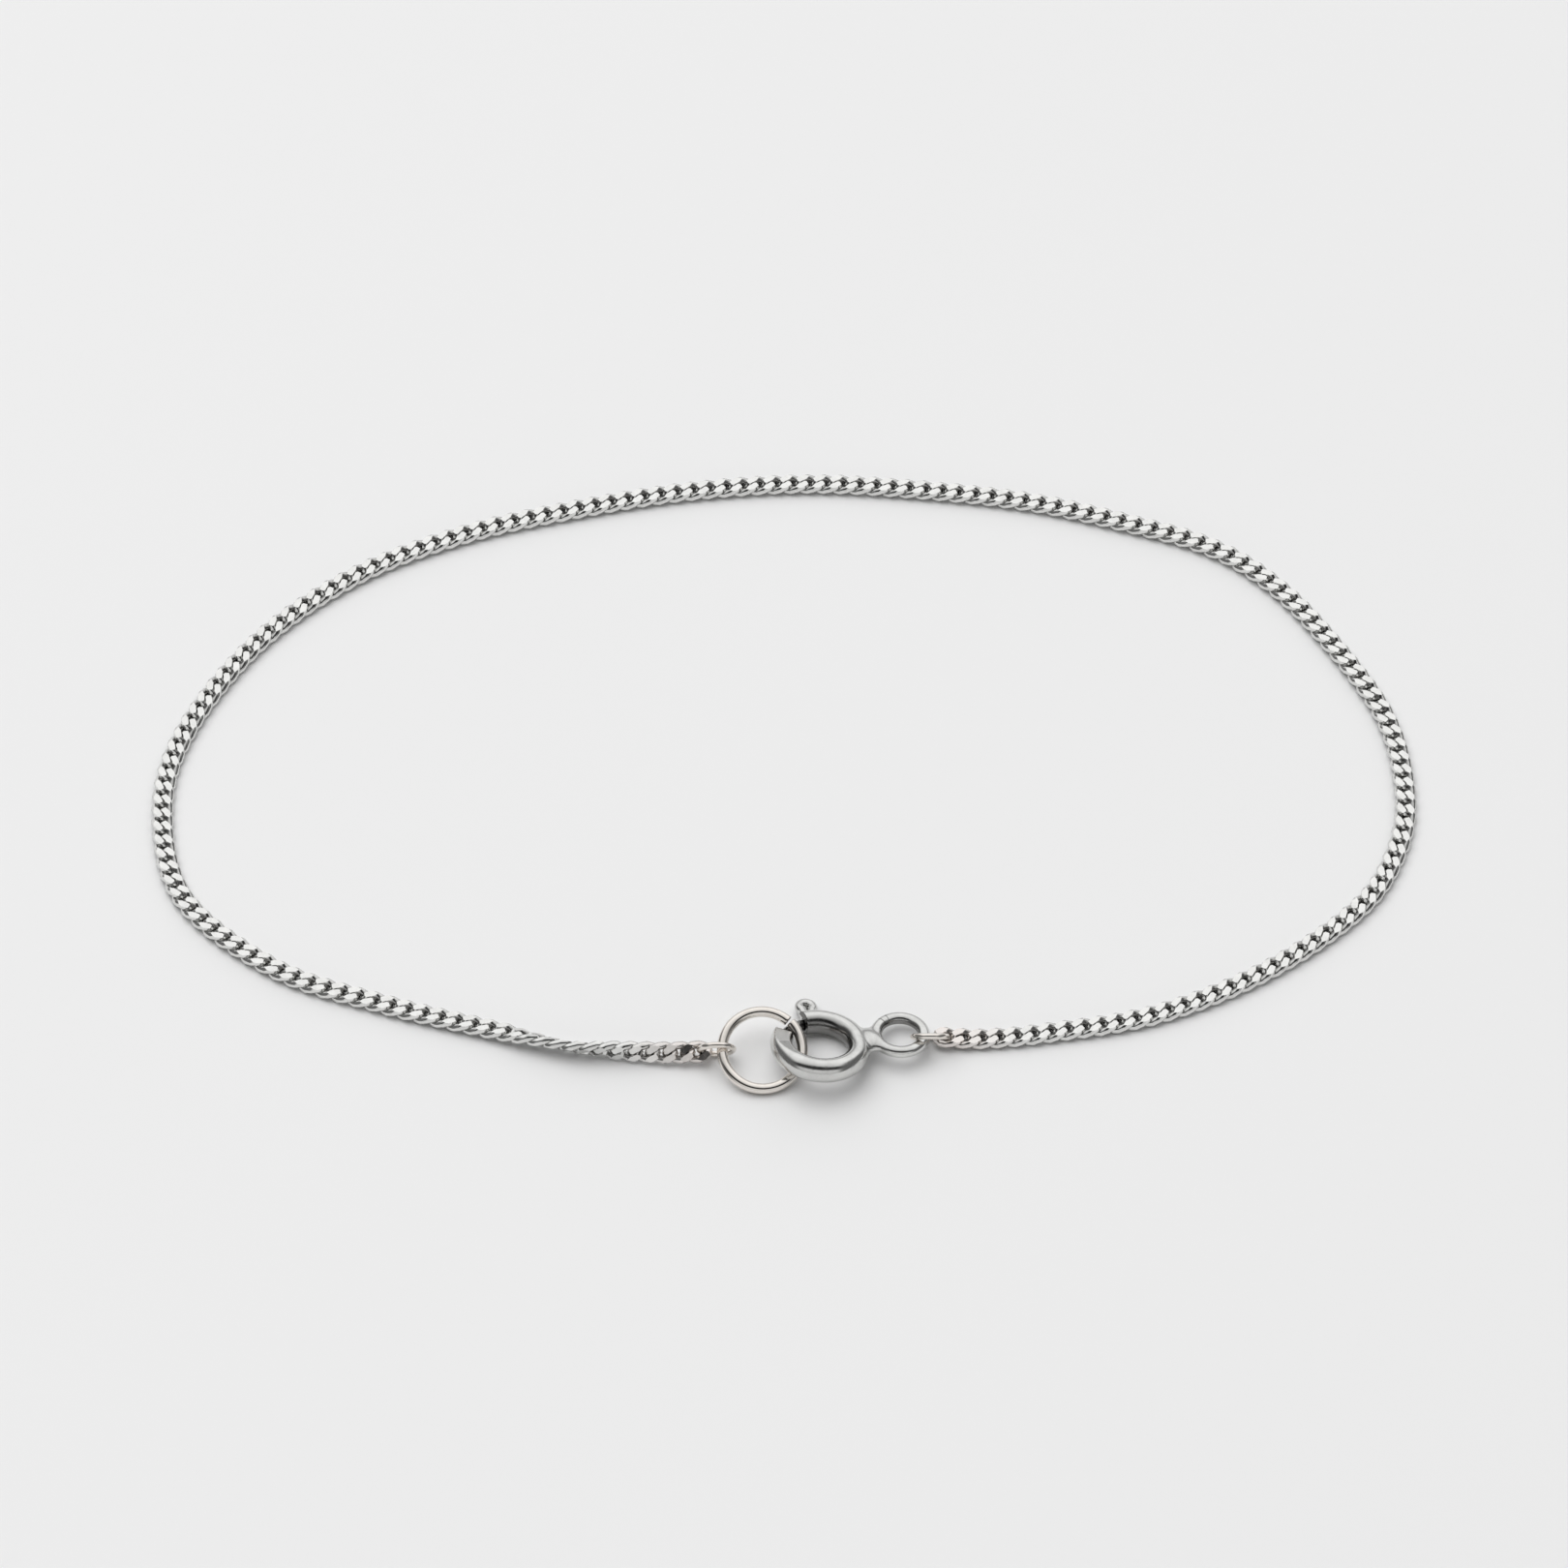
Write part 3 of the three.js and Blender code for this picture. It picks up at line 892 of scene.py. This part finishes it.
def makeClaspRing():
    tube = roundRing(clasp["radius"], clasp["tubeWidth"], clasp["tubeHeight"],
                     clasp["tubeSteps"], clasp["tubeSides"])
    piece = makeObject("clasp_work", tube)
    ring = roundRing(clasp["endRadius"], clasp["endWire"], clasp["endWire"],
                     clasp["endSteps"], clasp["endSides"])
    place = Matrix.Translation(endCentre) @ turned(*clasp["endTurn"])
    bmesh.ops.transform(ring, matrix=place, verts=ring.verts)
    combine(piece, ring, "UNION")
    neck = bmesh.new()
    place = (Matrix.Translation((tubeOuter + clasp["endGap"] / 2, 0, clasp["endRise"] / 2))
             @ Matrix.Diagonal((*clasp["neckSize"], 1)))
    segments, rings = clasp["neckSegments"]
    bmesh.ops.create_uvsphere(neck, u_segments=segments, v_segments=rings, radius=0.5,
                              matrix=place)
    combine(piece, neck, "UNION")
    drawOutSolder(piece)
    inner = clasp["radius"] - clasp["tubeWidth"] / 2 - clasp["margin"]
    outer = tubeOuter + clasp["margin"]
    opened = clasp["openStart"] + clasp["overrun"]
    cuts = [
        ringBlock(inner, outer, clasp["openStart"], clasp["openEnd"],
                  clasp["tubeHeight"] + clasp["margin"], 0),
        ringBlock(clasp["radius"], outer, clasp["slotStart"], opened, clasp["slotHeight"],
                  -clasp["boreDrop"]),
        boreAlong(clasp["boreStart"], opened),
        boreAlong(clasp["openEnd"] - clasp["overrun"], clasp["openEnd"] + clasp["socket"]),
        facetBlock(),
    ]
    for cut in cuts:
        combine(piece, cut, "DIFFERENCE")
    # One even skin over the soldered parts, rubbed until its edges are soft
    addSkin(piece, clasp["voxel"])
    addRub(piece, clasp["smoothing"])
    applyModifiers(piece)
    bm = takeBack(piece)
    markClaspRing(bm)
    finishPiece("spring_ring", bm, claspPlace, "tumbled_silver", "bracelet", "clasp_ring",
                sharpAngle=clasp["sharpAngle"])


makeClaspRing()

bolt = {
    "wire": 0.56,
    "tail": 60,                 # where the bar ends inside the tube
    "entry": 3,                 # how far its tip goes into the socket
    "triggerAngle": 88,
    "triggerReach": 1.49,       # of the trigger past the tube
    "headRadius": 0.38,         # of the hairpin's bend
    "headTurn": 42,             # how far the bend goes on past a half circle, at each end
    "headSteps": 28,
    "legOffset": 0.26,
    "legStop": 1.1,             # where a leg ends under the head, in radii of the head
    "legSteps": 8,
    "chamfer": 0.06,
    "shadeAndSeam": 0.8,               # painted shade on the bar where it lies in its bore
    "sides": 24,
    "steps": 60,
    "sharpAngle": 40,
}


def triggerPath():
    # Out along one leg, round the head and back down the other, across the bolt's wire
    head = tubeOuter + bolt["triggerReach"] - bolt["wire"] / 2 - bolt["headRadius"]
    legEnd = head - bolt["headRadius"] * bolt["legStop"]
    leg = []
    for step in range(bolt["legSteps"]):
        out = clasp["radius"] + (legEnd - clasp["radius"]) * step / bolt["legSteps"]
        leg.append((bolt["legOffset"], out))
    turn = radians(bolt["headTurn"])
    bend = []
    for step in range(bolt["headSteps"] + 1):
        angle = -turn + (pi + 2 * turn) * step / bolt["headSteps"]
        bend.append((bolt["headRadius"] * cos(angle), head + bolt["headRadius"] * sin(angle)))
    back = [(-across, out) for across, out in reversed(leg)]
    return [Vector((out, across, -clasp["boreDrop"])) for across, out in leg + bend + back]


def makeBolt():
    bar = arc(clasp["radius"], bolt["tail"], clasp["openEnd"] + bolt["entry"], bolt["steps"],
              height=-clasp["boreDrop"])
    bm, caps = sweep(bar, bolt["wire"], bolt["wire"], bolt["sides"], False)
    chamfer(bm, caps, bolt["chamfer"])
    piece = makeObject("bolt_work", bm)
    trigger = sweep(triggerPath(), bolt["wire"], bolt["wire"], bolt["sides"], False)[0]
    bmesh.ops.rotate(trigger, verts=trigger.verts, cent=(0, 0, 0),
                     matrix=Matrix.Rotation(radians(bolt["triggerAngle"]), 3, "Z"))
    combine(piece, trigger, "UNION")
    joined = takeBack(piece)
    # Painted shade on the bar where it lies in the bore
    painted_shade_and_seams = joined.verts.layers.float.new("painted_shade_and_seams")
    for vertex in joined.verts:
        if vertex.co.to_2d().length - clasp["radius"] < clasp["bore"] / 2:
            vertex[painted_shade_and_seams] = bolt["shadeAndSeam"]
    finishPiece("sprung_bolt", joined, claspPlace, "tumbled_silver", "bolt", "clasp_bolt",
                sharpAngle=bolt["sharpAngle"])


makeBolt()
